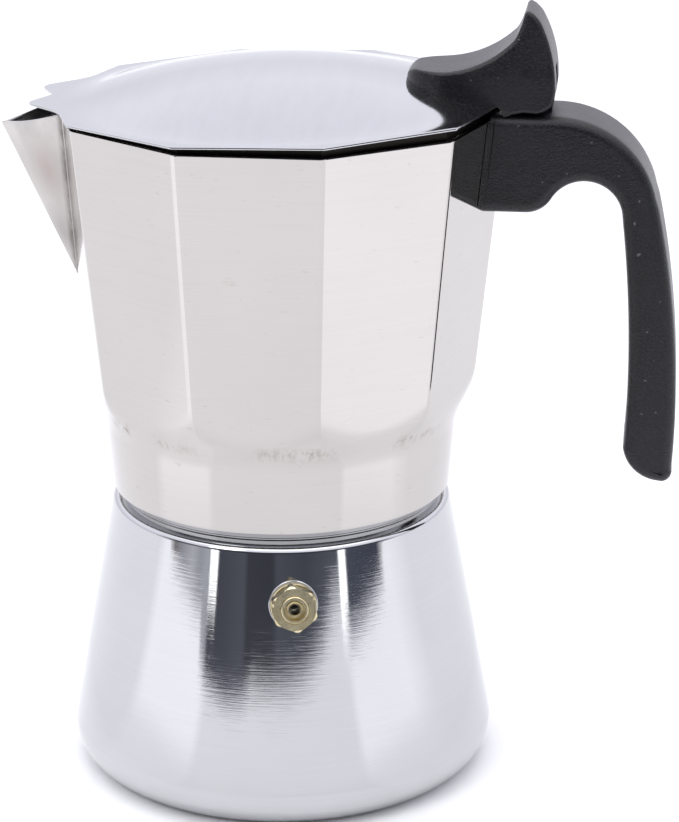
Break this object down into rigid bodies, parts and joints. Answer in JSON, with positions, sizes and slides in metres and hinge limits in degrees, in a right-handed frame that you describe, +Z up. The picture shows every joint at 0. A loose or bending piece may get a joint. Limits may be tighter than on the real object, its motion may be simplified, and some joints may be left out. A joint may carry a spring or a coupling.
{
  "type": "moka pot",
  "caption": "Stovetop coffee pot with a tapered boiler, safety valve, coffee funnel, faceted jug with spout, hinged domed lid and black handle.",
  "frame": {"origin": "centre of the base, on the table", "axes": "+Z up, +X towards the handle, -X towards the spout"},
  "size_m": [0.1637, 0.1056, 0.1913],
  "materials": {
    "boiler_steel": "polished over fine horizontal brushing",
    "jug_steel": "polished, faint horizontal brushing",
    "lid_steel": "smooth satin polish",
    "bright_steel": "turned and polished",
    "brass": "turned, slightly dull",
    "fibre": "matte",
    "silicone": "smooth matte",
    "black_plastic": "fine moulded grain"
  },
  "bodies": {
    "boiler": {"boiler_shell": "boiler_steel", "boiler_neck": "bright_steel", "valve_body": "brass", "valve_seal": "fibre", "valve_nut": "brass", "valve_seat": "brass", "valve_spring": "bright_steel"},
    "valve": {"valve_poppet": "bright_steel"},
    "funnel": {"funnel_cup": "bright_steel", "funnel_stem": "bright_steel", "funnel_strainer": "bright_steel"},
    "filter": {"filter_plate": "bright_steel"},
    "seal_ring": {"gasket": "silicone"},
    "jug": {"jug_body": "jug_steel", "spout": "jug_steel", "thread_ring": "bright_steel", "jug_floor": "jug_steel", "column": "bright_steel", "column_cap": "bright_steel", "handle_bracket": "bright_steel", "handle": "black_plastic", "handle_screw": "bright_steel"},
    "lid": {"lid": "lid_steel", "lid_skirt": "lid_steel", "thumb_piece": "black_plastic", "lid_screws": "bright_steel", "hinge_pin": "bright_steel"}
  },
  "joints": [
    {"name": "valve_lift", "type": "slide", "parent": "boiler", "child": "valve", "axis": [0.1876, -0.9653, 0.1814], "range_m": [0, 0.0012], "stiffness_N_per_m": 400, "springref_m": -0.003},
    {"name": "jug_lift", "type": "slide", "parent": "boiler", "child": "filter", "axis": [0, 0, 1], "range_m": [0, 0.16]},
    {"name": "funnel_lift", "type": "slide", "parent": "boiler", "child": "funnel", "axis": [0, 0, 1], "range_m": [0, 0.08]},
    {"name": "thread_rise", "type": "slide", "parent": "filter", "child": "seal_ring", "axis": [0, 0, 1], "range_m": [0, 0.0095]},
    {"name": "jug_turn", "type": "hinge", "parent": "seal_ring", "child": "jug", "pos_m": [0, 0, 0.083], "axis": [0, 0, 1], "range_deg": [0, 1080]},
    {"name": "lid_hinge", "type": "hinge", "parent": "jug", "child": "lid", "pos_m": [0.061, 0, 0.173], "axis": [0, 1, 0], "range_deg": [0, 100]}
  ],
  "couplings": [
    {"joint": "funnel_lift", "follows": "jug_lift", "ratio": 0.47},
    {"joint": "thread_rise", "follows": "jug_turn", "m_per_rad": 0.00047746}
  ]
}
